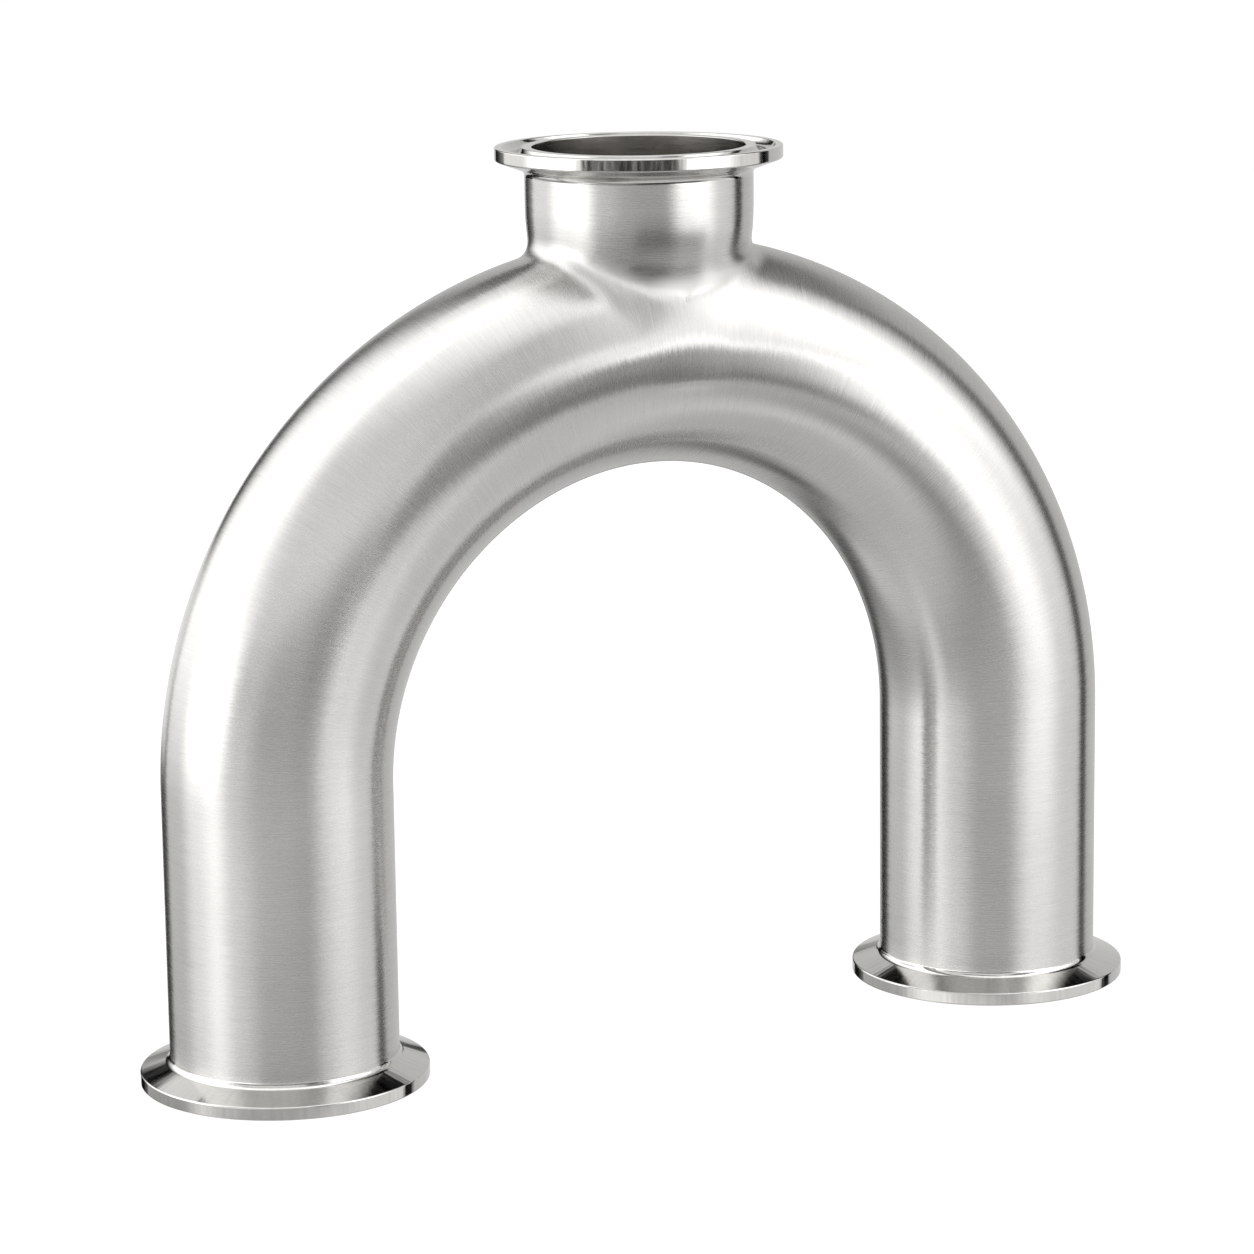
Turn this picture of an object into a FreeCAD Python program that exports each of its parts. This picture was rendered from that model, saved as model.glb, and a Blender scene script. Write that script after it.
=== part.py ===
import FreeCAD, Part
import math
import os
from FreeCAD import Vector

# A sanitary tee in hygienic tube: a tube bent through half a turn, with a collar of the tube's own
# bore pulled out of the crown, and a clamp ferrule butt-welded to each of its three ends.
# The fitting stands on its two leg ferrules. X runs from leg to leg, Z runs up through the branch,
# and the origin is midway between the legs on the plane of their sealing faces.
# Lengths are in millimetres and angles in degrees.

os.makedirs("parts", exist_ok=True)

# Tube
tubeDiameter = 50.8
tubeWall = 1.65

# Half-turn bend: radius of its centreline, and the straight run left at each of its ends
bendRadius = 90.0
tangentLength = 37.4

# Collar pulled from the crown: how far its weld face stands above the crown's outer wall, how
# much its radius draws in on the way down from the weld to the bend's centreline, and the radius
# of its outer blend into the bend
collarHeight = 7.4
collarDraw = 2.6
collarBlend = 5.0

# Ferrules, from sealing face to weld
legFerruleLength = 28.6
branchFerruleLength = 12.7

# Flange of a ferrule: a thin rim, and a back that tapers up to the neck
flangeDiameter = 64.0
rimThickness = 2.85
rimRound = 0.4
backTaper = 20.0
neckFillet = 1.6

# Gasket groove in the sealing face, an arc in section: the diameter of its middle, its width at
# the face and its depth
grooveDiameter = 56.34
grooveWidth = 4.4
grooveDepth = 1.6

# Sizes that follow
tubeRadius = tubeDiameter / 2
boreRadius = tubeRadius - tubeWall
flangeRadius = flangeDiameter / 2
backRise = (flangeRadius - tubeRadius) * math.tan(math.radians(backTaper))
bendLevel = legFerruleLength + tangentLength
crownLevel = bendLevel + bendRadius
collarTop = crownLevel + tubeRadius + collarHeight
branchFace = collarTop + branchFerruleLength
up = Vector(0, 0, 1)


def bendRun(radius):
    """A round bar bent through half a turn, its seam line along the outside of the bend."""
    centre = Vector(-bendRadius, 0, bendLevel)
    rim = Part.Circle(centre, up, radius).toShape()
    rim.rotate(centre, up, 180)
    disc = Part.Face(Part.Wire([rim]))
    return disc.revolve(Vector(0, 0, bendLevel), Vector(0, 1, 0), 180)


def collarSeams(body, radius):
    """The front and back halves of the saddle curve where the collar meets the bend."""
    seams = []
    for edge in body.Edges:
        box = edge.BoundBox
        besideAxis = max(abs(box.XMin), abs(box.XMax)) < radius + 1
        onSaddle = box.ZMin > crownLevel - 1 and box.ZMax < crownLevel + radius
        if besideAxis and onSaddle and edge.Length > radius:
            seams.append(edge)
    return seams


def teeForm(radius, depth):
    """The tee as a solid round bar, with its collar blended into its bend.

    The outer wall and the passage are both this form. Depth is how far its surface lies inside
    the outer wall: the blend grows by as much, so the wall keeps its thickness there.
    """
    tangents = []
    for side in (-1, 1):
        foot = Vector(side * bendRadius, 0, legFerruleLength)
        tangents.append(Part.makeCylinder(radius, tangentLength, foot, up))
    root = Vector(0, 0, crownLevel)
    collar = Part.makeCone(radius - collarDraw, radius, collarTop - crownLevel, root, up)
    body = bendRun(radius).fuse(tangents + [collar])
    return body.makeFillet(collarBlend + depth, collarSeams(body, radius))


def bendTube():
    """The bent tube with its pulled collar: the outer form with the passage taken out."""
    return teeForm(tubeRadius, 0).cut(teeForm(boreRadius, tubeWall))


def roundedOutline(corners):
    """A closed outline in the XZ plane. A corner is (r, z, rounding), and sharp where that is 0."""
    points = [Vector(r, 0, z) for r, z, rounding in corners]
    arcs = []
    arrivals = []
    departures = []
    for place, corner in enumerate(points):
        rounding = corners[place][2]
        back = (points[place - 1] - corner).normalize()
        ahead = (points[(place + 1) % len(points)] - corner).normalize()
        halfAngle = back.getAngle(ahead) / 2
        trim = rounding / math.tan(halfAngle)
        arrivals.append(corner + back * trim)
        departures.append(corner + ahead * trim)
        if rounding > 0:
            inward = (back + ahead).normalize()
            middle = corner + inward * (rounding / math.sin(halfAngle) - rounding)
            arcs.append(Part.Arc(arrivals[place], middle, departures[place]).toShape())
    sides = []
    for place in range(len(points)):
        sides.append(Part.LineSegment(departures[place - 1], arrivals[place]).toShape())
    return Part.Wire(Part.sortEdges(sides + arcs)[0])


def ferrule(length):
    """A clamp ferrule, its sealing face on the plane z = 0 and its neck running up from it."""
    neckLevel = rimThickness + backRise
    section = roundedOutline([
        (boreRadius, 0, 0),
        (flangeRadius, 0, rimRound),
        (flangeRadius, rimThickness, rimRound),
        (tubeRadius, neckLevel, neckFillet),
        (tubeRadius, length, 0),
        (boreRadius, length, 0),
    ])
    blank = Part.Face(section).revolve(Vector(0, 0, 0), up, 360)
    grooveArc = (grooveWidth ** 2 / 4 + grooveDepth ** 2) / (2 * grooveDepth)
    grooveCentre = Vector(0, 0, grooveDepth - grooveArc)
    return blank.cut(Part.makeTorus(grooveDiameter / 2, grooveArc, grooveCentre, up))


def legFerrule(side):
    piece = ferrule(legFerruleLength)
    piece.translate(Vector(side * bendRadius, 0, 0))
    return piece


def branchFerrule():
    piece = ferrule(branchFerruleLength)
    piece.rotate(Vector(0, 0, 0), Vector(1, 0, 0), 180)
    piece.translate(Vector(0, 0, branchFace))
    return piece


pieces = {
    "bend_tube": bendTube(),
    "branch_ferrule": branchFerrule(),
    "left_leg_ferrule": legFerrule(-1),
    "right_leg_ferrule": legFerrule(1),
}

for name, shape in pieces.items():
    shape.exportStep("parts/" + name + ".step")
    box = shape.BoundBox
    print(name, "valid" if shape.isValid() else "INVALID", len(shape.Solids), "solid",
          "volume %.1f mm3" % shape.Volume,
          "x %.2f to %.2f, y %.2f to %.2f, z %.2f to %.2f"
          % (box.XMin, box.XMax, box.YMin, box.YMax, box.ZMin, box.ZMax))
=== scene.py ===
import bmesh
import bpy
import math
import numpy as np
from mathutils import Matrix, Vector


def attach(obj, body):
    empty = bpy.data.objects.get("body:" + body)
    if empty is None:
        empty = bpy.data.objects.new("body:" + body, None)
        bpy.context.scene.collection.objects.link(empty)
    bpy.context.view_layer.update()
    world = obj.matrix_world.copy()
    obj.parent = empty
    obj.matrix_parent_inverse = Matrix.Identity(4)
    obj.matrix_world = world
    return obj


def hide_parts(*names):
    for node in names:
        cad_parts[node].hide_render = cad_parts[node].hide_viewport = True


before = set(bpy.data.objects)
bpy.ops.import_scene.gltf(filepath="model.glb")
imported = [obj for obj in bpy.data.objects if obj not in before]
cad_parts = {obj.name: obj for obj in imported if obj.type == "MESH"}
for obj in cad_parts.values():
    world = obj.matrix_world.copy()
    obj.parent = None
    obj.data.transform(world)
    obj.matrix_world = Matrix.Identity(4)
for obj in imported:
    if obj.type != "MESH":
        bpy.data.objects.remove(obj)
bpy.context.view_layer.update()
scene = bpy.context.scene
scene.view_settings.view_transform = "Standard"

mm = 0.001  # lengths in the dictionaries below are millimetres

# What several pieces share
tube = {
    "radius": 25.4,
    "bore": 23.75,
    "bendRadius": 90.0,
    "bendLevel": 66.0,
    "weldLevel": 28.6,  # where a leg ferrule ends and the bent tube starts
    "neckTop": 188.8,  # where the branch ferrule starts
    "branchFace": 201.5,
}


def hexColour(code):
    channels = [int(code[i:i + 2], 16) / 255 for i in (1, 3, 5)]
    return tuple(c / 12.92 if c <= 0.04045 else ((c + 0.055) / 1.055) ** 2.4 for c in channels) + (1,)


# A share from 0 to 1 that starts and ends gently
def ease(share):
    return share ** 2 * (3 - 2 * share)


def addNode(tree, kind, inputs=None, **settings):
    node = tree.nodes.new(kind)
    for name, value in settings.items():
        setattr(node, name, value)
    for socket, value in (inputs or {}).items():
        if isinstance(value, bpy.types.Node):
            value = value.outputs[0]
        if isinstance(value, bpy.types.NodeSocket):
            tree.links.new(value, node.inputs[socket])
        else:
            node.inputs[socket].default_value = value
    return node


# The camera of the photograph, in degrees and millimetres
camera = {
    "azimuth": -25.916,
    "elevation": 11.717,
    "roll": -0.756,
    "distance": 995.8,
    "lens": 126.3,
    "sensor": 36,
    "aimAcross": -3.953,
    "aimHeight": 92.557,
    "clip": (10, 50000),
}


def makeCamera():
    azimuth = math.radians(camera["azimuth"])
    elevation = math.radians(camera["elevation"])
    roll = math.radians(camera["roll"])
    level = math.cos(elevation)
    back = Vector((math.sin(azimuth) * level, -math.cos(azimuth) * level, math.sin(elevation)))
    across = Vector((0, 0, 1)).cross(back).normalized()
    upright = back.cross(across)
    right = math.cos(roll) * across + math.sin(roll) * upright
    up = -math.sin(roll) * across + math.cos(roll) * upright
    aim = across * camera["aimAcross"] + Vector((0, 0, camera["aimHeight"]))
    place = (aim + back * camera["distance"]) * mm
    lens = bpy.data.cameras.new("photoLens")
    lens.lens = camera["lens"]
    lens.sensor_width = camera["sensor"]
    lens.clip_start, lens.clip_end = [reach * mm for reach in camera["clip"]]
    holder = bpy.data.objects.new("photoCamera", lens)
    turn = Matrix((right, up, back)).transposed().to_4x4()
    holder.matrix_world = Matrix.Translation(place) @ turn
    scene.collection.objects.link(holder)
    scene.camera = holder
    print("camera placed")


makeCamera()

# The room is painted on the sky in softly edged boxes, by compass direction and height in degrees.
# Azimuth 0 is the front and grows to the right. A later box lies over the earlier ones.
studio = {
    "floorSize": 3000,
    "floorColour": "#8c8c8b",
    "floorGlow": 0.82,
    "skyForMatt": 0.8,  # what a matt surface gets from the plain sky, where a camera sees 1
    "boxes": [
        # name, azimuth, elevation, half width, half height, feather across, feather up, brightness
        ("underFloor", 0, -90, 400, 37, 10, 6, 0.70),
        ("rearDark", 142, -8, 56, 64, 3, 3, 0.0),
        ("rearGrey", 136, -12, 36, 46, 3, 3, 0.7),
        ("frontDim", -6, 42, 88, 20, 26, 12, 1.0),
        ("frontHigh", -38, 53, 43, 13, 24, 6, 0.8),
        ("leftTall", -126, 38, 42, 40, 30, 16, 1.9),
        ("leftLow", -86, 1, 37, 10, 22, 14, 3.2),
        ("leftFront", -74, -19, 18, 9, 16, 8, 1.4),
        ("rightTall", 51, 48, 20, 38, 14, 16, 2.5),
        ("overhead", 0, 90, 400, 20, 10, 18, 2.17),
        ("overheadFront", -26, 72, 54, 12, 12, 30, 1.59),
        ("frontRight", 12, 32, 13, 22, 12, 12, 0.35),
        ("rightFloor", 45, -33, 30, 14, 16, 12, 0.8),
        ("frontMid", -24, 10, 46, 8, 14, 8, 1.5),
        ("frontLow", -18, -18, 40, 6, 16, 6, 1.1),
        ("frontShadow", -30, -31, 45, 7, 14, 6, 0.05),
        ("leftFloor", -134, -27, 32, 13, 20, 12, 0.4),
    ],
    # Curved cards stand round the part, near enough for its legs and its crown to see them
    # differently. Cover is how much one hides of what lies behind it.
    "cardSteps": (40, 20),
    "cards": [
        # name, azimuth from and to, height from and to, distance,
        # feather across (degrees) and up (millimetres), cover, brightness
        ("rightCard", -4, 62, -60, 235, 560, 28, 70, 0.0, 1.4),
        ("neckCard", -6, 60, 165, 250, 560, 24, 30, 0.0, 2.8),
        ("leftCard", -100, -34, -60, 130, 300, 30, 60, 0.0, 0.12),
        ("frontFlag", -82, 16, 100, 192, 550, 16, 20, 1.0, 0.0),
        ("legFlag", -88, 16, -30, 110, 550, 16, 24, 0.65, 0.0),
        ("archFlag", -34, 39, 20, 122, 300, 18, 34, 0.5, 0.0),
        ("crownFlag", -36, 46, 108, 176, 110, 14, 14, 0.8, 0.0),
        ("footCard", 198, 244, 52, 125, 150, 8, 12, 1.0, 1.0),
        ("rearFlag", 140, 200, 6, 60, 300, 16, 16, 0.95, 0.0),
        ("lowFlag", -95, 25, -100, -30, 300, 20, 20, 0.5, 0.0),
    ],
}


def emptyPaint(name):
    paint = bpy.data.materials.new(name)
    paint.use_nodes = True
    paint.node_tree.nodes.clear()
    return paint


# 1 where a camera, a mirror or a glass looks, and 0 where a matt surface gathers light
def lookedAt(tree):
    path = addNode(tree, "ShaderNodeLightPath").outputs
    seen = addNode(tree, "ShaderNodeMath", {0: path["Is Camera Ray"], 1: path["Is Glossy Ray"]},
                   operation="MAXIMUM")
    return addNode(tree, "ShaderNodeMath", {0: seen, 1: path["Is Transmission Ray"]},
                   operation="MAXIMUM")


def makeFloor():
    half = studio["floorSize"] * mm / 2
    mesh = bpy.data.meshes.new("floorMesh")
    corners = [(-half, -half, 0), (half, -half, 0), (half, half, 0), (-half, half, 0)]
    mesh.from_pydata(corners, [], [(0, 1, 2, 3)])
    floor = bpy.data.objects.new("paleFloor", mesh)
    floor.visible_glossy = False  # the metal mirrors the boxes painted below the horizon instead
    scene.collection.objects.link(floor)
    paint = emptyPaint("paleFloorPaint")
    tree = paint.node_tree
    glow = addNode(tree, "ShaderNodeMath", {0: lookedAt(tree), 1: studio["floorGlow"]},
                   operation="MULTIPLY")
    matt = addNode(tree, "ShaderNodeBsdfDiffuse", {"Color": hexColour(studio["floorColour"])})
    light = addNode(tree, "ShaderNodeEmission", {"Strength": glow})
    both = addNode(tree, "ShaderNodeAddShader", {0: matt, 1: light})
    addNode(tree, "ShaderNodeOutputMaterial", {"Surface": both})
    mesh.materials.append(paint)


def makeSky():
    world = bpy.data.worlds.new("studioSky")
    world.use_nodes = True
    tree = world.node_tree
    tree.nodes.clear()
    generated = addNode(tree, "ShaderNodeTexCoord").outputs["Generated"]
    way = addNode(tree, "ShaderNodeSeparateXYZ", {0: generated}).outputs
    front = addNode(tree, "ShaderNodeMath", {0: way["Y"], 1: -1.0}, operation="MULTIPLY")
    azimuth = addNode(tree, "ShaderNodeMath", {0: way["X"], 1: front}, operation="ARCTAN2")
    azimuth = addNode(tree, "ShaderNodeMath", {0: azimuth}, operation="DEGREES")
    elevation = addNode(tree, "ShaderNodeMath", {0: way["Z"]}, operation="ARCSINE")
    elevation = addNode(tree, "ShaderNodeMath", {0: elevation}, operation="DEGREES")
    light = addNode(tree, "ShaderNodeMix", {"Factor": lookedAt(tree), "A": studio["skyForMatt"],
                                            "B": 1.0})
    for name, az, el, halfWidth, halfHeight, featherAcross, featherUp, brightness in studio["boxes"]:
        across = addNode(tree, "ShaderNodeMath", {0: azimuth, 1: az}, operation="SUBTRACT")
        across = addNode(tree, "ShaderNodeMath", {0: across, 1: 180, 2: -180}, operation="WRAP")
        upward = addNode(tree, "ShaderNodeMath", {0: elevation, 1: el}, operation="SUBTRACT")
        shares = []
        for offset, half, feather in ((across, halfWidth, featherAcross),
                                      (upward, halfHeight, featherUp)):
            away = addNode(tree, "ShaderNodeMath", {0: offset}, operation="ABSOLUTE")
            shares.append(addNode(tree, "ShaderNodeMapRange", {
                "Value": away, "From Min": half + feather / 2, "From Max": half - feather / 2},
                interpolation_type="SMOOTHSTEP"))
        cover = addNode(tree, "ShaderNodeMath", {0: shares[0], 1: shares[1]},
                        operation="MULTIPLY", label=name)
        light = addNode(tree, "ShaderNodeMix", {"Factor": cover, "A": light, "B": brightness})
    eye = addNode(tree, "ShaderNodeLightPath").outputs["Is Camera Ray"]
    light = addNode(tree, "ShaderNodeMix", {"Factor": eye, "A": light, "B": 1.0})
    sky = addNode(tree, "ShaderNodeBackground", {"Color": (1, 1, 1, 1), "Strength": light})
    addNode(tree, "ShaderNodeOutputWorld", {"Surface": sky})
    scene.world = world


def makeCards():
    acrossSteps, upSteps = studio["cardSteps"]
    across = np.linspace(0, 1, acrossSteps + 1)
    upward = np.linspace(0, 1, upSteps + 1)
    row = len(across)
    faces = [(j * row + i, j * row + i + 1, (j + 1) * row + i + 1, (j + 1) * row + i)
             for j in range(upSteps) for i in range(acrossSteps)]
    for (name, azFrom, azTo, low, high, distance, featherAcross, featherUp,
         cover, brightness) in studio["cards"]:
        azimuth = np.radians(azFrom + (azTo - azFrom) * across)
        fromSide = np.clip(np.minimum(across, 1 - across) * (azTo - azFrom) / featherAcross, 0, 1)
        fromEnd = np.clip(np.minimum(upward, 1 - upward) * (high - low) / featherUp, 0, 1)
        points = [(distance * mm * math.sin(a), -distance * mm * math.cos(a),
                   (low + (high - low) * t) * mm) for t in upward for a in azimuth]
        mesh = bpy.data.meshes.new(name + "Mesh")
        mesh.from_pydata(points, [], faces)
        weight = mesh.attributes.new("strength", "FLOAT", "POINT")
        weight.data.foreach_set("value", np.outer(ease(fromEnd), ease(fromSide)).ravel())
        card = bpy.data.objects.new(name, mesh)
        scene.collection.objects.link(card)
        card.visible_camera = False
        card.visible_diffuse = False
        card.visible_shadow = False
        paint = emptyPaint(name + "Paint")
        tree = paint.node_tree
        strength = addNode(tree, "ShaderNodeAttribute", attribute_name="strength").outputs["Fac"]
        left = addNode(tree, "ShaderNodeMath", {0: strength, 1: -cover, 2: 1.0},
                       operation="MULTIPLY_ADD")
        passed = addNode(tree, "ShaderNodeCombineColor", {0: left, 1: left, 2: left})
        clear = addNode(tree, "ShaderNodeBsdfTransparent", {"Color": passed})
        glow = addNode(tree, "ShaderNodeMath", {0: strength, 1: brightness}, operation="MULTIPLY")
        light = addNode(tree, "ShaderNodeEmission", {"Color": (1, 1, 1, 1), "Strength": glow})
        both = addNode(tree, "ShaderNodeAddShader", {0: clear, 1: light})
        addNode(tree, "ShaderNodeOutputMaterial", {"Surface": both})
        mesh.materials.append(paint)


makeFloor()
makeSky()
makeCards()
print("floor, sky and cards set up")

# Brushed stainless steel: fine lines run round the tube, so reflections smear along it and stay
# crisp across it, feathered a little from line to line
brushed = {
    "colour": "#c9c8c6",
    "roughness": 0.27,
    "boreColour": "#a09d98",  # inside, the drawn tube is only pickled, and darker
    "boreRoughness": 0.17,
    "roughnessWander": 0.02,
    "smear": 0.85,
    "lineWidth": 0.32,  # a 240 grit line is near 0.1 mm, drawn coarser so that it shows
    "lineLength": 7.0,
    "lineTilt": 0.032,  # how far a line leans round the tube, as a slope
    "lineShade": (0.95, 1.03),
    "blotch": 16.0,
    "blotchRange": (0.3, 0.7),
    "blotchShade": (0.97, 1.02),
    "seamDullness": 0.05,  # what the hand finish adds to the roughness
    "seamFades": (0.5, 0.1),  # how far neckShare is from its middle where that starts and is full
}
# Turned and polished stainless steel: near mirror, with faint streaks from the lathe and the mop
polished = {
    "colour": "#cfcecb",
    "roughness": 0.12,
    "roughnessWander": 0.04,
    "smear": 0.5,
    "streaks": 34.0,  # how fine the radial streaks are, as noise cells to a radian
    "streakFade": 0.1,  # how fast a streak changes along its length, in cells to a millimetre
    "streakTilt": 0.03,
    "streakShade": (0.93, 1.03),
}
noiseRange = {"From Min": 0.25, "From Max": 0.75}  # where nearly all of a noise's values lie


def newFinish(name, tint, roughness):
    finish = bpy.data.materials.new(name)
    finish.use_nodes = True
    tree = finish.node_tree
    shader = tree.nodes["Principled BSDF"]
    shader.inputs["Base Color"].default_value = hexColour(tint)
    shader.inputs["Metallic"].default_value = 1.0
    shader.inputs["Roughness"].default_value = roughness
    return finish, tree, shader


# Reflections are smeared along the stored axisWay, and each line leans a little across it, which
# feathers the edge of a reflection
def smearAlong(tree, shader, wander, tilt, smear):
    way = addNode(tree, "ShaderNodeAttribute", attribute_name="axisWay").outputs["Vector"]
    normal = addNode(tree, "ShaderNodeNewGeometry").outputs["Normal"]
    roundWay = addNode(tree, "ShaderNodeVectorMath", {0: way, 1: normal}, operation="CROSS_PRODUCT")
    lean = addNode(tree, "ShaderNodeMapRange", {"Value": wander, "To Min": -tilt, "To Max": tilt})
    sideways = addNode(tree, "ShaderNodeVectorMath", {0: roundWay, 3: lean}, operation="SCALE")
    leaning = addNode(tree, "ShaderNodeVectorMath", {0: normal, 1: sideways}, operation="ADD")
    leaning = addNode(tree, "ShaderNodeVectorMath", {0: leaning}, operation="NORMALIZE")
    tree.links.new(leaning.outputs[0], shader.inputs["Normal"])
    tree.links.new(way, shader.inputs["Tangent"])
    shader.inputs["Anisotropic"].default_value = smear


def makeBrushedSteel(name, colour, roughness):
    finish, tree, shader = newFinish(name, colour, roughness)
    onBend = addNode(tree, "ShaderNodeAttribute", attribute_name="grain").outputs["Vector"]
    neckShare = addNode(tree, "ShaderNodeAttribute", attribute_name="neckShare").outputs["Fac"]
    spot = addNode(tree, "ShaderNodeTexCoord").outputs["Object"]
    inMm = addNode(tree, "ShaderNodeVectorMath", {0: spot, 3: 1 / mm}, operation="SCALE")
    parts = addNode(tree, "ShaderNodeSeparateXYZ", {0: inMm}).outputs
    onNeck = addNode(tree, "ShaderNodeCombineXYZ", {"X": parts["Z"], "Y": parts["X"], "Z": parts["Y"]})
    cells = (1 / brushed["lineWidth"], 1 / brushed["lineLength"], 1 / brushed["lineLength"])
    patterns = []
    for grain in (onBend, onNeck):
        stretched = addNode(tree, "ShaderNodeVectorMath", {0: grain, 1: cells}, operation="MULTIPLY")
        patterns.append(addNode(tree, "ShaderNodeTexNoise", {
            "Vector": stretched, "Scale": 1.0, "Detail": 2.0, "Roughness": 0.6}).outputs["Color"])
    lines = addNode(tree, "ShaderNodeMix", {0: neckShare, 4: patterns[0], 5: patterns[1]},
                    data_type="VECTOR")
    lines = addNode(tree, "ShaderNodeSeparateXYZ", {0: lines.outputs[1]}).outputs
    # darker and paler lines, over faint clouds
    shade = addNode(tree, "ShaderNodeMapRange", {
        "Value": lines["X"], **noiseRange,
        "To Min": brushed["lineShade"][0], "To Max": brushed["lineShade"][1]})
    cloud = addNode(tree, "ShaderNodeTexNoise", {"Vector": inMm, "Scale": 1 / brushed["blotch"],
                                                 "Detail": 3.0})
    clouded = addNode(tree, "ShaderNodeMapRange", {
        "Value": cloud,
        "From Min": brushed["blotchRange"][0], "From Max": brushed["blotchRange"][1],
        "To Min": brushed["blotchShade"][0], "To Max": brushed["blotchShade"][1]})
    shade = addNode(tree, "ShaderNodeMath", {0: shade, 1: clouded}, operation="MULTIPLY")
    tint = addNode(tree, "ShaderNodeVectorMath", {0: hexColour(colour)[:3], 3: shade},
                   operation="SCALE")
    tree.links.new(tint.outputs[0], shader.inputs["Base Color"])
    rough = addNode(tree, "ShaderNodeMapRange", {
        "Value": lines["Y"], **noiseRange,
        "To Min": roughness - brushed["roughnessWander"],
        "To Max": roughness + brushed["roughnessWander"]})
    # the saddle is finished by hand in short strokes, and is the dullest place
    seam = addNode(tree, "ShaderNodeMath", {0: neckShare, 1: 0.5}, operation="SUBTRACT")
    seam = addNode(tree, "ShaderNodeMath", {0: seam}, operation="ABSOLUTE")
    seam = addNode(tree, "ShaderNodeMapRange", {
        "Value": seam, "From Min": brushed["seamFades"][0], "From Max": brushed["seamFades"][1],
        "To Max": brushed["seamDullness"]})
    rough = addNode(tree, "ShaderNodeMath", {0: rough, 1: seam}, operation="ADD")
    tree.links.new(rough.outputs[0], shader.inputs["Roughness"])
    smearAlong(tree, shader, lines["Z"], brushed["lineTilt"], brushed["smear"])
    return finish


def makePolishedSteel():
    finish, tree, shader = newFinish("polishedStainlessSteel", polished["colour"],
                                     polished["roughness"])
    grain = addNode(tree, "ShaderNodeAttribute", attribute_name="grain").outputs["Vector"]
    # the streaks fan out from the axis, so the noise is read by direction across it
    flat = addNode(tree, "ShaderNodeVectorMath", {0: grain, 1: (0, 1, 1)}, operation="MULTIPLY")
    outward = addNode(tree, "ShaderNodeVectorMath", {0: flat}, operation="NORMALIZE")
    fan = addNode(tree, "ShaderNodeVectorMath", {0: outward, 3: polished["streaks"]},
                  operation="SCALE")
    fan = addNode(tree, "ShaderNodeVectorMath", {0: grain, 1: (polished["streakFade"],) * 3, 2: fan},
                  operation="MULTIPLY_ADD")
    streaks = addNode(tree, "ShaderNodeTexNoise", {"Vector": fan, "Scale": 1.0, "Detail": 2.0})
    streaks = addNode(tree, "ShaderNodeSeparateXYZ", {0: streaks.outputs["Color"]}).outputs
    shade = addNode(tree, "ShaderNodeMapRange", {
        "Value": streaks["X"], **noiseRange,
        "To Min": polished["streakShade"][0], "To Max": polished["streakShade"][1]})
    tint = addNode(tree, "ShaderNodeVectorMath", {0: hexColour(polished["colour"])[:3], 3: shade},
                   operation="SCALE")
    tree.links.new(tint.outputs[0], shader.inputs["Base Color"])
    rough = addNode(tree, "ShaderNodeMapRange", {
        "Value": streaks["Y"], **noiseRange,
        "To Min": polished["roughness"] - polished["roughnessWander"],
        "To Max": polished["roughness"] + polished["roughnessWander"]})
    tree.links.new(rough.outputs[0], shader.inputs["Roughness"])
    smearAlong(tree, shader, streaks["Z"], polished["streakTilt"], polished["smear"])
    return finish


brushedSteel = makeBrushedSteel("brushedStainlessSteel", brushed["colour"], brushed["roughness"])
drawnSteel = makeBrushedSteel("drawnTubeBore", brushed["boreColour"], brushed["boreRoughness"])
polishedSteel = makePolishedSteel()
print("finishes mixed")


# A modifier's result becomes a plain mesh
def settle(piece):
    bpy.context.view_layer.update()
    made = piece.evaluated_get(bpy.context.evaluated_depsgraph_get())
    shape = bpy.data.meshes.new_from_object(made)
    piece.modifiers.clear()
    piece.data = shape
    return shape


def addSocket(tree, name, kind, value, out=False):
    socket = tree.interface.new_socket(name, in_out="OUTPUT" if out else "INPUT", socket_type=kind)
    if value is not None:
        socket.default_value = value


def useTree(piece, tree, values):
    modifier = piece.modifiers.new(tree.name, "NODES")
    modifier.node_group = tree
    for item in tree.interface.items_tree:
        if item.item_type == "SOCKET" and item.in_out == "INPUT" and item.name in values:
            modifier[item.identifier] = values[item.name]


bent = {
    "bendSteps": 72,  # faces along half of the bend
    "straightSteps": 19,
    "roundSteps": 160,
    "insideShare": 2,  # the passage is this many times coarser
    "windowSteps": 24,  # half of the opening for the collar, in steps along the bend
    "windowReach": 60,  # and in steps round the section
    "patchRows": 60,
    "sideBlend": 3.6,  # how wide the saddle is where neck and bend cross squarely
    "frontBlend": 7.0,
    "neckDraw": 2.6,  # how far the neck's radius draws in, down to the bend's centreline
    "frontDraw": 2.4,  # and how far more at its front and back, where the collar was pulled least
    "frontDrawFrom": 0.1,  # where on the way down that starts, and over how much of it it grows
    "frontDrawOver": 0.5,
    "seamSine": 0.93,  # the patch's first guess of how far round the section the seam runs
    "stepsToSeam": 24,  # points on the path down to it, and on the path out to the window
    "stepsToWindow": 40,
    "relaxTurns": 30,
    "relaxPull": 0.6,  # how far a point moves towards the middle of its neighbours in a turn
    "settleEvery": 3,  # after this many turns the points are led back onto the saddle
    "neckShareWidth": 6.0,  # over what width the brushing turns from the bend to the neck
    "neckShareShift": 0.15,
    "smearTurn": 6.0,  # how far from the middle the smear has swung fully to its own side
    "leastLean": 0.03,
    "skinMerge": 0.01,  # points this close are one, in a skin and in the whole tube
    "wholeMerge": 0.002,
    "crispAngle": 40,  # degrees
}


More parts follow.
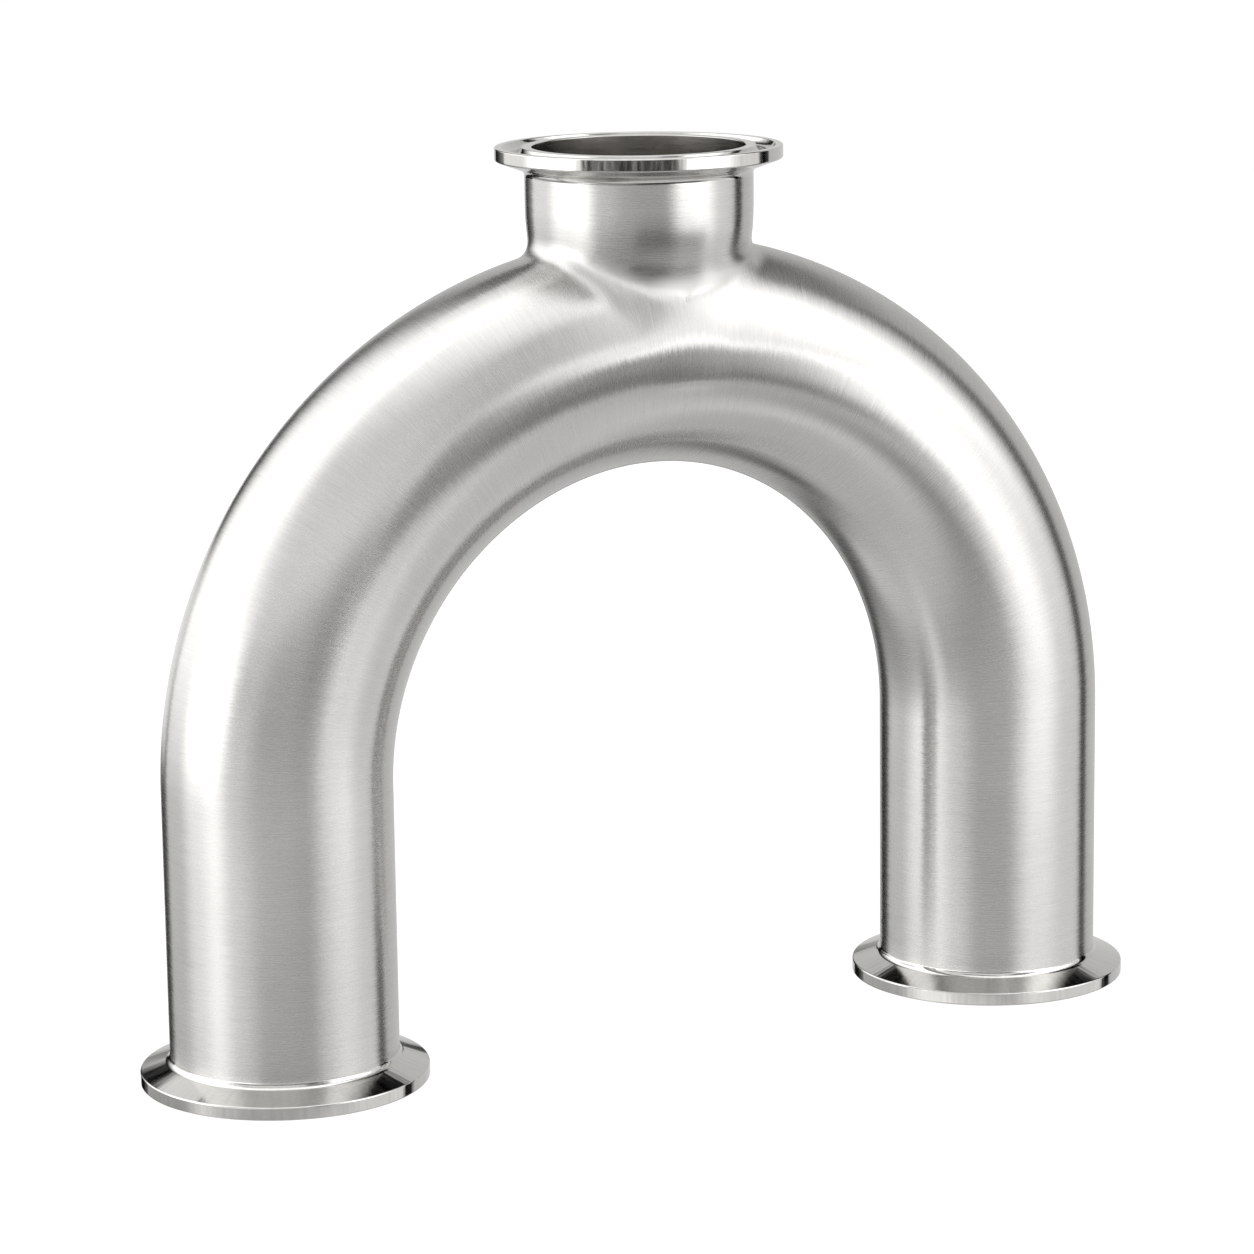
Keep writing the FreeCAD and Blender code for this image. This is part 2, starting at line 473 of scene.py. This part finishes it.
def makeSkinTree():
    tree = bpy.data.node_groups.new("bentSkin", "GeometryNodeTree")
    addSocket(tree, "Geometry", "NodeSocketGeometry", None, out=True)
    for name, kind, value in (
        ("Bend Radius", "NodeSocketFloat", tube["bendRadius"] * mm),
        ("Skin Radius", "NodeSocketFloat", tube["radius"] * mm),
        ("Bend Level", "NodeSocketFloat", tube["bendLevel"] * mm),
        ("Straight Run", "NodeSocketFloat", (tube["bendLevel"] - tube["weldLevel"]) * mm),
        ("Bend Steps", "NodeSocketInt", bent["bendSteps"]),
        ("Straight Steps", "NodeSocketInt", bent["straightSteps"]),
        ("Round Steps", "NodeSocketInt", bent["roundSteps"]),
        ("Window Steps", "NodeSocketInt", bent["windowSteps"]),
        ("Window Reach", "NodeSocketInt", bent["windowReach"]),
        ("Finish", "NodeSocketMaterial", None),
    ):
        addSocket(tree, name, kind, value)
    given = addNode(tree, "NodeGroupInput").outputs
    halfCount = addNode(tree, "ShaderNodeMath", {0: given["Bend Steps"], 1: given["Straight Steps"]},
                        operation="ADD")
    alongCount = addNode(tree, "ShaderNodeMath", {0: halfCount, 1: 2.0, 2: 1.0},
                         operation="MULTIPLY_ADD")
    roundCount = addNode(tree, "ShaderNodeMath", {0: given["Round Steps"], 1: 1.0}, operation="ADD")
    grid = addNode(tree, "GeometryNodeMeshGrid", {
        "Size X": 2.0, "Size Y": 2.0, "Vertices X": alongCount, "Vertices Y": roundCount})
    position = addNode(tree, "GeometryNodeInputPosition")
    flat = addNode(tree, "ShaderNodeSeparateXYZ", {0: position}).outputs
    halfRound = addNode(tree, "ShaderNodeMath", {0: given["Round Steps"], 1: 2.0}, operation="DIVIDE")
    stepAlong = addNode(tree, "ShaderNodeMath", {0: flat["X"], 1: halfCount}, operation="MULTIPLY")
    stepRound = addNode(tree, "ShaderNodeMath", {0: flat["Y"], 1: halfRound}, operation="MULTIPLY")
    farAlong = addNode(tree, "ShaderNodeMath", {0: stepAlong}, operation="ABSOLUTE")
    farRound = addNode(tree, "ShaderNodeMath", {0: stepRound}, operation="ABSOLUTE")
    # the opening in the crown that the collar's blend fills
    nearAlong = addNode(tree, "FunctionNodeCompare", {0: farAlong, 1: given["Window Steps"]},
                        data_type="FLOAT", operation="LESS_THAN")
    nearRound = addNode(tree, "FunctionNodeCompare", {0: farRound, 1: given["Window Reach"]},
                        data_type="FLOAT", operation="LESS_THAN")
    inWindow = addNode(tree, "FunctionNodeBooleanMath", {0: nearAlong, 1: nearRound}, operation="AND")
    opened = addNode(tree, "GeometryNodeDeleteGeometry", {"Geometry": grid, "Selection": inWindow},
                     domain="FACE")
    # along the bend first, then down the straight run
    side = addNode(tree, "ShaderNodeMath", {0: stepAlong}, operation="SIGN")
    bendStep = addNode(tree, "ShaderNodeMath", {0: farAlong, 1: given["Bend Steps"]},
                       operation="MINIMUM")
    share = addNode(tree, "ShaderNodeMath", {0: bendStep, 1: given["Bend Steps"]}, operation="DIVIDE")
    quarter = addNode(tree, "ShaderNodeMath", {0: side, 1: math.pi / 2}, operation="MULTIPLY")
    turn = addNode(tree, "ShaderNodeMath", {0: quarter, 1: share}, operation="MULTIPLY")
    pastBend = addNode(tree, "ShaderNodeMath", {0: farAlong, 1: given["Bend Steps"]},
                       operation="SUBTRACT")
    pastBend = addNode(tree, "ShaderNodeMath", {0: pastBend, 1: 0.0}, operation="MAXIMUM")
    share = addNode(tree, "ShaderNodeMath", {0: pastBend, 1: given["Straight Steps"]},
                    operation="DIVIDE")
    drop = addNode(tree, "ShaderNodeMath", {0: share, 1: given["Straight Run"]}, operation="MULTIPLY")
    # and round the section
    around = addNode(tree, "ShaderNodeMath", {0: flat["Y"], 1: math.pi}, operation="MULTIPLY")
    outward = addNode(tree, "ShaderNodeMath", {0: around}, operation="COSINE")
    outward = addNode(tree, "ShaderNodeMath", {0: outward, 1: given["Skin Radius"]},
                      operation="MULTIPLY")
    forward = addNode(tree, "ShaderNodeMath", {0: around}, operation="SINE")
    forward = addNode(tree, "ShaderNodeMath", {0: forward, 1: given["Skin Radius"]},
                      operation="MULTIPLY")
    reach = addNode(tree, "ShaderNodeMath", {0: given["Bend Radius"], 1: outward}, operation="ADD")
    sine = addNode(tree, "ShaderNodeMath", {0: turn}, operation="SINE")
    cosine = addNode(tree, "ShaderNodeMath", {0: turn}, operation="COSINE")
    sideways = addNode(tree, "ShaderNodeMath", {0: reach, 1: sine}, operation="MULTIPLY")
    height = addNode(tree, "ShaderNodeMath", {0: reach, 1: cosine, 2: given["Bend Level"]},
                     operation="MULTIPLY_ADD")
    height = addNode(tree, "ShaderNodeMath", {0: height, 1: drop}, operation="SUBTRACT")
    place = addNode(tree, "ShaderNodeCombineXYZ", {"X": sideways, "Y": forward, "Z": height})
    # the grain is stored as millimetres along the tube and across its section
    run = addNode(tree, "ShaderNodeMath", {0: side, 1: drop}, operation="MULTIPLY")
    run = addNode(tree, "ShaderNodeMath", {0: given["Bend Radius"], 1: turn, 2: run},
                  operation="MULTIPLY_ADD")
    grain = addNode(tree, "ShaderNodeCombineXYZ", {"X": run, "Y": outward, "Z": forward})
    grain = addNode(tree, "ShaderNodeVectorMath", {0: grain, 3: 1 / mm}, operation="SCALE")
    fall = addNode(tree, "ShaderNodeMath", {0: sine, 1: -1.0}, operation="MULTIPLY")
    way = addNode(tree, "ShaderNodeCombineXYZ", {"X": cosine, "Z": fall})
    skin = opened
    for name, value in (("grain", grain), ("axisWay", way)):
        skin = addNode(tree, "GeometryNodeStoreNamedAttribute", {
            "Geometry": skin, "Name": name, "Value": value}, data_type="FLOAT_VECTOR", domain="POINT")
    skin = addNode(tree, "GeometryNodeSetPosition", {"Geometry": skin, "Position": place})
    skin = addNode(tree, "GeometryNodeMergeByDistance", {"Geometry": skin,
                                                         "Distance": bent["skinMerge"] * mm})
    skin = addNode(tree, "GeometryNodeRealizeInstances", {"Geometry": skin})
    skin = addNode(tree, "GeometryNodeSetMaterial", {"Geometry": skin, "Material": given["Finish"]})
    addNode(tree, "NodeGroupOutput", {0: skin})
    return tree


# How far points lie outside the bend, in millimetres. The neck and the saddle follow.
def bendForm(points, radius):
    x, y, z = points[..., 0], points[..., 1], points[..., 2]
    outward = np.hypot(x, z - tube["bendLevel"]) - tube["bendRadius"]
    return np.hypot(outward, y) - radius


# How far round the neck points are, from 0 at its sides to 1 at its front and back
def towardsFront(points):
    x, y = points[..., 0], points[..., 1]
    leastReach = 0.01  # a point on the axis itself has no side
    return (y / np.maximum(np.hypot(x, y), leastReach)) ** 2


def neckForm(points, radius):
    x, y, z = points[..., 0], points[..., 1], points[..., 2]
    crown = tube["bendLevel"] + tube["bendRadius"]
    down = np.clip((tube["neckTop"] - z) / (tube["neckTop"] - crown), 0, 1)
    low = np.clip((down - bent["frontDrawFrom"]) / bent["frontDrawOver"], 0, 1)
    draw = bent["neckDraw"] * ease(down) + bent["frontDraw"] * towardsFront(points) * ease(low)
    return np.maximum(np.hypot(x, y) - radius + draw, crown - z)


# The two forms run into each other over a width that grows towards the front and back
def saddleForm(points, radius, extra):
    neck = neckForm(points, radius)
    bend = bendForm(points, radius)
    width = bent["sideBlend"] + (bent["frontBlend"] - bent["sideBlend"]) * towardsFront(points)
    width = width + extra
    share = np.clip(width - np.abs(neck - bend), 0, None) / width
    return np.minimum(neck, bend) - share ** 2 * width / 4


# Points are led onto the saddle in a few steps down its slope
def ontoSaddle(points, radius, extra):
    steps = 6
    probe = 0.02
    leastSlope = 0.2
    for step in range(steps):
        level = saddleForm(points, radius, extra)
        slope = np.stack([(saddleForm(points + probe * way, radius, extra)
                           - saddleForm(points - probe * way, radius, extra)) / (2 * probe)
                          for way in np.eye(3)], -1)
        steepness = np.maximum((slope ** 2).sum(-1), leastSlope)
        points = points - (level / steepness)[..., None] * slope
    return points


# The corners of the opening in the crown, in order, from the rightmost one at the back
def windowLoop(mesh):
    shape = bmesh.new()
    shape.from_mesh(mesh)
    wellUp = (tube["bendLevel"] + 20) * mm  # the skin's open ends at the legs are below this
    rim = [e for e in shape.edges if e.is_boundary and min(v.co.z for v in e.verts) > wellUp]
    start = max((v for e in rim for v in e.verts), key=lambda v: (round(v.co.x, 6), v.co.y))
    order = [start]
    left = set(rim)
    while len(order) == 1 or order[-1] is not start:
        ahead = [e for e in order[-1].link_edges if e in left]
        if len(order) == 1:
            ahead.sort(key=lambda e: -e.other_vert(start).co.y)
        left.remove(ahead[0])
        order.append(ahead[0].other_vert(order[-1]))
    loop = np.array([v.co[:] for v in order[:-1]]) / mm
    shape.free()
    return loop


# Rows of points run from the neck's weld down and out to the window in the bend. They start on a
# plain neck and bend that meet in a seam, are spread evenly, and are relaxed onto the saddle.
def saddlePatch(mesh, radius, extra, rows):
    loop = windowLoop(mesh)
    x, y, z = loop.T
    level = z - tube["bendLevel"]
    along = np.arctan2(x, level)
    around = np.arctan2(y, np.hypot(x, level) - tube["bendRadius"])
    compass = np.arctan2(around / np.abs(around).max(), along / np.abs(along).max())
    count = len(loop)
    ringX, ringY = radius * np.cos(compass), radius * np.sin(compass)
    seamAround = np.arcsin(np.clip(np.sin(compass) * bent["seamSine"], -1, 1))
    seamReach = tube["bendRadius"] + radius * np.cos(seamAround)
    seamAlong = np.arcsin(np.clip(ringX / seamReach, -1, 1))
    seam = np.stack([ringX, ringY, tube["bendLevel"] + seamReach * np.cos(seamAlong)], -1)
    top = np.stack([ringX, ringY, np.full(count, tube["neckTop"])], -1)
    path = [top + (seam - top) * t for t in np.linspace(0, 1, bent["stepsToSeam"])]
    for t in np.linspace(0, 1, bent["stepsToWindow"])[1:]:
        a = seamAlong + (along - seamAlong) * t
        b = seamAround + (around - seamAround) * t
        reach = tube["bendRadius"] + radius * np.cos(b)
        path.append(np.stack([reach * np.sin(a), radius * np.sin(b),
                              tube["bendLevel"] + reach * np.cos(a)], -1))
    path = np.array(path)
    gaps = np.linalg.norm(np.diff(path, axis=0), axis=-1)
    run = np.concatenate([np.zeros((1, count)), np.cumsum(gaps, axis=0)])
    points = np.zeros((rows + 1, count, 3))
    for i in range(count):
        wanted = np.linspace(0, run[-1, i], rows + 1)
        for axis in range(3):
            points[:, i, axis] = np.interp(wanted, run[:, i], path[:, i, axis])
    points[0] = top
    points[-1] = loop
    pull, every = bent["relaxPull"], bent["settleEvery"]
    for turn in range(bent["relaxTurns"]):
        middle = (points[:-2] + points[2:]
                  + np.roll(points, 1, 1)[1:-1] + np.roll(points, -1, 1)[1:-1]) / 4
        eased = (1 - pull) * points[1:-1] + pull * middle
        points[1:-1] = ontoSaddle(eased, radius, extra) if turn % every == every - 1 else eased
    points[1:-1] = ontoSaddle(points[1:-1], radius, extra)
    return points


# One skin of the tube, outer or inner: its mesh with the window, and the patch for the window
def makeSkin(tree, radius, extra, coarser):
    skin = bpy.data.objects.new("skin", bpy.data.meshes.new("skin"))
    scene.collection.objects.link(skin)
    useTree(skin, tree, {
        "Bend Radius": tube["bendRadius"] * mm,
        "Skin Radius": radius * mm,
        "Bend Level": tube["bendLevel"] * mm,
        "Straight Run": (tube["bendLevel"] - tube["weldLevel"]) * mm,
        "Bend Steps": bent["bendSteps"] // coarser,
        "Straight Steps": bent["straightSteps"] // coarser,
        "Round Steps": bent["roundSteps"] // coarser,
        "Window Steps": bent["windowSteps"] // coarser,
        "Window Reach": bent["windowReach"] // coarser,
        "Finish": brushedSteel,
    })
    mesh = settle(skin)
    rows = saddlePatch(mesh, radius, extra, bent["patchRows"] // coarser)
    bpy.data.objects.remove(skin)
    print("skin of radius", radius, "has", len(mesh.polygons), "faces and a patch of",
          rows.shape[:2])
    return mesh, rows


# A skin and its patch join the whole tube's mesh, with the passage's faces turned to the flow
def addSkin(whole, mesh, rows, radius, inside):
    grainLayer = whole.verts.layers.float_vector["grain"]
    wayLayer = whole.verts.layers.float_vector["axisWay"]
    neckLayer = whole.verts.layers.float["neckShare"]
    skin = bmesh.new()
    skin.from_mesh(mesh)
    grain = skin.verts.layers.float_vector["grain"]
    way = skin.verts.layers.float_vector["axisWay"]
    made = [whole.verts.new(v.co) for v in skin.verts]
    for old, new in zip(skin.verts, made):
        new[grainLayer] = old[grain]
        new[wayLayer] = old[way]
    for face in skin.faces:
        corners = [made[v.index] for v in face.verts]
        whole.faces.new(corners[::-1] if inside else corners)
    skin.free()

    beyond = bendForm(rows, radius) - neckForm(rows, radius)
    share = ease(np.clip(beyond / bent["neckShareWidth"] + bent["neckShareShift"], 0, 1))
    patch = [[whole.verts.new((x * mm, y * mm, z * mm)) for x, y, z in row] for row in rows]
    for row, verts, shares in zip(rows, patch, share):
        for (x, y, z), vert, onNeck in zip(row, verts, shares):
            level = z - tube["bendLevel"]
            along = math.atan2(x, level)
            outward = math.hypot(x, level) - tube["bendRadius"]
            vert[grainLayer] = (tube["bendRadius"] * along, outward, y)
            vert[neckLayer] = float(onNeck)
            # the smear crosses the seam, which falls towards the middle from either side
            lean = max(min(abs(x) / bent["smearTurn"], 1), bent["leastLean"])
            bendWay = Vector((math.cos(along), 0, -math.sin(along)))
            bendWay *= -math.copysign(lean, x) * (1 - onNeck)
            vert[wayLayer] = (bendWay + Vector((0, 0, onNeck))).normalized()
    count = rows.shape[1]
    for upper, lower in zip(patch, patch[1:]):
        for i in range(count):
            k = (i + 1) % count
            corners = [upper[i], lower[i], lower[k], upper[k]]
            whole.faces.new(corners[::-1] if inside else corners)


def makeBentTube():
    tree = makeSkinTree()
    whole = bmesh.new()
    whole.verts.layers.float_vector.new("grain")
    whole.verts.layers.float_vector.new("axisWay")
    whole.verts.layers.float.new("neckShare")
    wall = tube["radius"] - tube["bore"]
    for radius, extra, coarser, inside in (
        (tube["radius"], 0, 1, False),
        (tube["bore"], wall, bent["insideShare"], True),
    ):
        mesh, rows = makeSkin(tree, radius, extra, coarser)
        addSkin(whole, mesh, rows, radius, inside)
    bmesh.ops.remove_doubles(whole, verts=whole.verts, dist=bent["wholeMerge"] * mm)
    # a flat ring joins the two skins at each weld
    rims = [e for e in whole.edges if e.is_boundary]
    closeBy = 0.1 * mm
    for level, side in ((tube["weldLevel"], -1), (tube["weldLevel"], 1), (tube["neckTop"], 0)):
        ring = [e for e in rims if abs(e.verts[0].co.z - level * mm) < closeBy
                and (side == 0 or e.verts[0].co.x * side > 0)]
        bmesh.ops.bridge_loops(whole, edges=ring)
    bmesh.ops.recalc_face_normals(whole, faces=whole.faces)
    for face in whole.faces:
        face.smooth = True
    for edge in whole.edges:
        if edge.is_manifold and edge.calc_face_angle(0) > math.radians(bent["crispAngle"]):
            edge.smooth = False
    mesh = bpy.data.meshes.new("bentTubeMesh")
    whole.to_mesh(mesh)
    whole.free()
    mesh.materials.append(brushedSteel)
    piece = bpy.data.objects.new("bentTube", mesh)
    scene.collection.objects.link(piece)
    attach(piece, "root")
    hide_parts("bend_tube")
    print("bent tube made:", len(mesh.polygons), "faces")


makeBentTube()

ferrule = {
    "flangeRadius": 32.0,
    "rimThickness": 2.85,
    "backTaper": 20.0,  # degrees
    "rimRound": 0.4,
    "faceRound": 0.3,
    "neckFillet": 1.6,
    "lip": 0.25,  # the broken edge round the bore
    "grooveRadius": 28.17,
    "grooveHalf": 2.2,
    "grooveDepth": 1.6,
    "grooveLip": 0.2,
    "lipRoom": 1.05,  # the groove's arc leaves a lip this many times what its rounding takes
    "roundSteps": 192,
    "cornerSteps": 9,
    "crispAngle": 35,  # degrees
    "skinDepth": 0.3,  # what lies this close to the tube's radius is its outside
    "boreDepth": 0.01,  # and this close to the bore's radius, its bore
    "brushingFrom": 1.3,  # how far past the flange's back the brushing starts
    "flatsWeight": 90,  # above 50, large flat faces count for more in the shading
    "pieces": [
        # piece, CAD node, where its face is, half turns about X, length
        ("branchFerrule", "branch_ferrule", (0, 0, tube["branchFace"]), 1,
         tube["branchFace"] - tube["neckTop"]),
        ("leftLegFerrule", "left_leg_ferrule", (-tube["bendRadius"], 0, 0), 0, tube["weldLevel"]),
        ("rightLegFerrule", "right_leg_ferrule", (tube["bendRadius"], 0, 0), 0, tube["weldLevel"]),
    ],
}
# Where the tapered back of the flange reaches the neck
ferrule["backLevel"] = ferrule["rimThickness"] + (
    (ferrule["flangeRadius"] - tube["radius"]) * math.tan(math.radians(ferrule["backTaper"])))


# The section as a closed outline, sharp, with each corner's rounding stored on it
def ferruleOutline(length):
    half = ferrule["grooveHalf"]
    depth = ferrule["grooveDepth"]
    middle = ferrule["grooveRadius"]
    # the groove is one arc, drawn as the rounding of the point where its end tangents meet
    slope = math.asin(half / ((half ** 2 + depth ** 2) / (2 * depth)))
    point = half * math.tan(slope)
    lipReach = ferrule["grooveLip"] * math.tan(slope / 2) * ferrule["lipRoom"]
    arc = (half / math.cos(slope) - lipReach) / math.tan(slope)
    corners = [
        (tube["bore"], 0, ferrule["lip"]),
        (middle - half, 0, ferrule["grooveLip"]),
        (middle, point, arc),
        (middle + half, 0, ferrule["grooveLip"]),
        (ferrule["flangeRadius"], 0, ferrule["faceRound"]),
        (ferrule["flangeRadius"], ferrule["rimThickness"], ferrule["rimRound"]),
        (tube["radius"], ferrule["backLevel"], ferrule["neckFillet"]),
        (tube["radius"], length, 0),
        (tube["bore"], length, 0),
    ]
    count = len(corners)
    outline = bpy.data.meshes.new("ferruleOutline")
    outline.from_pydata([((r - tube["radius"]) * mm, -z * mm, 0) for r, z, rounding in corners],
                        [(i, (i + 1) % count) for i in range(count)], [])
    rounding = outline.attributes.new("rounding", "FLOAT", "POINT")
    rounding.data.foreach_set("value", [corner[2] * mm for corner in corners])
    return outline


def makeFerruleTree():
    tree = bpy.data.node_groups.new("turnedFerrule", "GeometryNodeTree")
    addSocket(tree, "Geometry", "NodeSocketGeometry", None)
    addSocket(tree, "Geometry", "NodeSocketGeometry", None, out=True)
    for name, kind, value in (
        ("Neck Radius", "NodeSocketFloat", tube["radius"] * mm),
        ("Bore Radius", "NodeSocketFloat", tube["bore"] * mm),
        ("Neck Start", "NodeSocketFloat", ferrule["backLevel"] * mm),
        ("Round Steps", "NodeSocketInt", ferrule["roundSteps"]),
        ("Corner Steps", "NodeSocketInt", ferrule["cornerSteps"]),
        ("Face Centre", "NodeSocketVector", (0, 0, 0)),
        ("Half Turns", "NodeSocketFloat", 0.0),
        ("Flange Finish", "NodeSocketMaterial", None),
        ("Neck Finish", "NodeSocketMaterial", None),
        ("Bore Finish", "NodeSocketMaterial", None),
        ("Side", "NodeSocketFloat", 0.0),
        ("Grain Start", "NodeSocketFloat", 0.0),
    ):
        addSocket(tree, name, kind, value)
    given = addNode(tree, "NodeGroupInput").outputs
    outline = addNode(tree, "GeometryNodeMeshToCurve", {0: given["Geometry"]})
    rounding = addNode(tree, "GeometryNodeInputNamedAttribute", {"Name": "rounding"},
                       data_type="FLOAT")
    rounded = addNode(tree, "GeometryNodeFilletCurve", {
        "Curve": outline, "Radius": rounding, "Limit Radius": True,
        "Count": given["Corner Steps"]}, mode="POLY")
    spindle = addNode(tree, "GeometryNodeCurvePrimitiveCircle", {
        "Resolution": given["Round Steps"], "Radius": given["Neck Radius"]})
    upright = addNode(tree, "GeometryNodeSetCurveNormal", {"Curve": spindle}, mode="Z_UP")
    turned = addNode(tree, "GeometryNodeCurveToMesh", {"Curve": upright, "Profile Curve": rounded})
    # the neck is brushed, the bore is as drawn, and all the rest is polished
    spot = addNode(tree, "ShaderNodeSeparateXYZ", {0: addNode(tree, "GeometryNodeInputPosition")})
    spot = spot.outputs
    radius = addNode(tree, "ShaderNodeMath", {0: spot["Y"], 1: spot["Y"]}, operation="MULTIPLY")
    radius = addNode(tree, "ShaderNodeMath", {0: spot["X"], 1: spot["X"], 2: radius},
                     operation="MULTIPLY_ADD")
    radius = addNode(tree, "ShaderNodeMath", {0: radius}, operation="SQRT")
    neckInside = addNode(tree, "ShaderNodeMath", {
        0: given["Neck Radius"], 1: ferrule["skinDepth"] * mm}, operation="SUBTRACT")
    pastFlange = addNode(tree, "FunctionNodeCompare", {0: spot["Z"], 1: given["Neck Start"]},
                         data_type="FLOAT", operation="GREATER_THAN")
    outside = addNode(tree, "FunctionNodeCompare", {0: radius, 1: neckInside},
                      data_type="FLOAT", operation="GREATER_THAN")
    onNeck = addNode(tree, "FunctionNodeBooleanMath", {0: pastFlange, 1: outside}, operation="AND")
    inBore = addNode(tree, "FunctionNodeCompare", {0: radius, 1: given["Bore Radius"]},
                     data_type="FLOAT", operation="LESS_THAN")
    edgeAngle = addNode(tree, "GeometryNodeInputMeshEdgeAngle")
    crisp = addNode(tree, "FunctionNodeCompare", {
        0: edgeAngle, 1: math.radians(ferrule["crispAngle"])},
        data_type="FLOAT", operation="GREATER_THAN")
    made = addNode(tree, "GeometryNodeRealizeInstances", {"Geometry": turned})
    made = addNode(tree, "GeometryNodeStoreNamedAttribute", {
        "Geometry": made, "Name": "sharp_edge", "Value": crisp}, data_type="BOOLEAN", domain="EDGE")
    for where, finish in ((True, "Flange Finish"), (onNeck, "Neck Finish"), (inBore, "Bore Finish")):
        made = addNode(tree, "GeometryNodeSetMaterial", {
            "Geometry": made, "Selection": where, "Material": given[finish]})
    angle = addNode(tree, "ShaderNodeMath", {0: given["Half Turns"], 1: math.pi},
                    operation="MULTIPLY")
    halfTurn = addNode(tree, "ShaderNodeCombineXYZ", {"X": angle})
    made = addNode(tree, "GeometryNodeTransform", {
        "Geometry": made, "Translation": given["Face Centre"], "Rotation": halfTurn})
    # the lathe's lines run round the axis, so what is smeared runs along the outline
    away = addNode(tree, "ShaderNodeVectorMath", {
        0: addNode(tree, "GeometryNodeInputPosition"), 1: given["Face Centre"]},
        operation="SUBTRACT")
    level = addNode(tree, "ShaderNodeVectorMath", {0: away, 1: (1, 1, 0)}, operation="MULTIPLY")
    outward = addNode(tree, "ShaderNodeVectorMath", {0: level}, operation="NORMALIZE")
    upOrDown = addNode(tree, "ShaderNodeMath", {0: given["Half Turns"], 1: 2.0, 2: -1.0},
                       operation="MULTIPLY_ADD")
    tilt = addNode(tree, "ShaderNodeCombineXYZ", {"Z": upOrDown})
    way = addNode(tree, "ShaderNodeVectorMath", {0: outward, 1: tilt}, operation="ADD")
    # the grain goes on from where the bent tube's ends
    inMm = addNode(tree, "ShaderNodeVectorMath", {0: away, 3: 1 / mm}, operation="SCALE")
    parts = addNode(tree, "ShaderNodeSeparateXYZ", {0: inMm}).outputs
    down = addNode(tree, "ShaderNodeMath", {0: given["Grain Start"], 1: parts["Z"]},
                   operation="SUBTRACT")
    along = addNode(tree, "ShaderNodeMath", {0: down, 1: given["Side"]}, operation="MULTIPLY")
    across = addNode(tree, "ShaderNodeMath", {0: parts["X"], 1: given["Side"]},
                     operation="MULTIPLY")
    grain = addNode(tree, "ShaderNodeCombineXYZ", {"X": along, "Y": across, "Z": parts["Y"]})
    for name, value, kind in (("axisWay", way, "FLOAT_VECTOR"), ("grain", grain, "FLOAT_VECTOR"),
                              ("neckShare", given["Half Turns"], "FLOAT")):
        made = addNode(tree, "GeometryNodeStoreNamedAttribute", {
            "Geometry": made, "Name": name, "Value": value}, data_type=kind, domain="POINT")
    addNode(tree, "NodeGroupOutput", {0: made})
    return tree


def makeFerrules():
    tree = makeFerruleTree()
    grainStart = tube["bendRadius"] * math.pi / 2 + tube["bendLevel"]
    for name, node, face, halfTurns, length in ferrule["pieces"]:
        piece = bpy.data.objects.new(name, ferruleOutline(length))
        scene.collection.objects.link(piece)
        useTree(piece, tree, {
            "Neck Radius": tube["radius"] * mm,
            "Bore Radius": (tube["bore"] + ferrule["boreDepth"]) * mm,
            "Neck Start": (ferrule["backLevel"] + ferrule["brushingFrom"]) * mm,
            "Round Steps": ferrule["roundSteps"],
            "Corner Steps": ferrule["cornerSteps"],
            "Face Centre": [c * mm for c in face],
            "Half Turns": float(halfTurns),
            "Side": math.copysign(1.0, face[0]),
            "Grain Start": grainStart,
            "Flange Finish": polishedSteel,
            "Neck Finish": brushedSteel,
            "Bore Finish": drawnSteel,
        })
        flats = piece.modifiers.new("flatsStayFlat", "WEIGHTED_NORMAL")
        flats.keep_sharp = True
        flats.weight = ferrule["flatsWeight"]
        mesh = settle(piece)
        mesh.name = name + "Mesh"
        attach(piece, "root")
        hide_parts(node)
        print(name, "made:", len(mesh.polygons), "faces, materials",
              [m.name for m in mesh.materials])


makeFerrules()
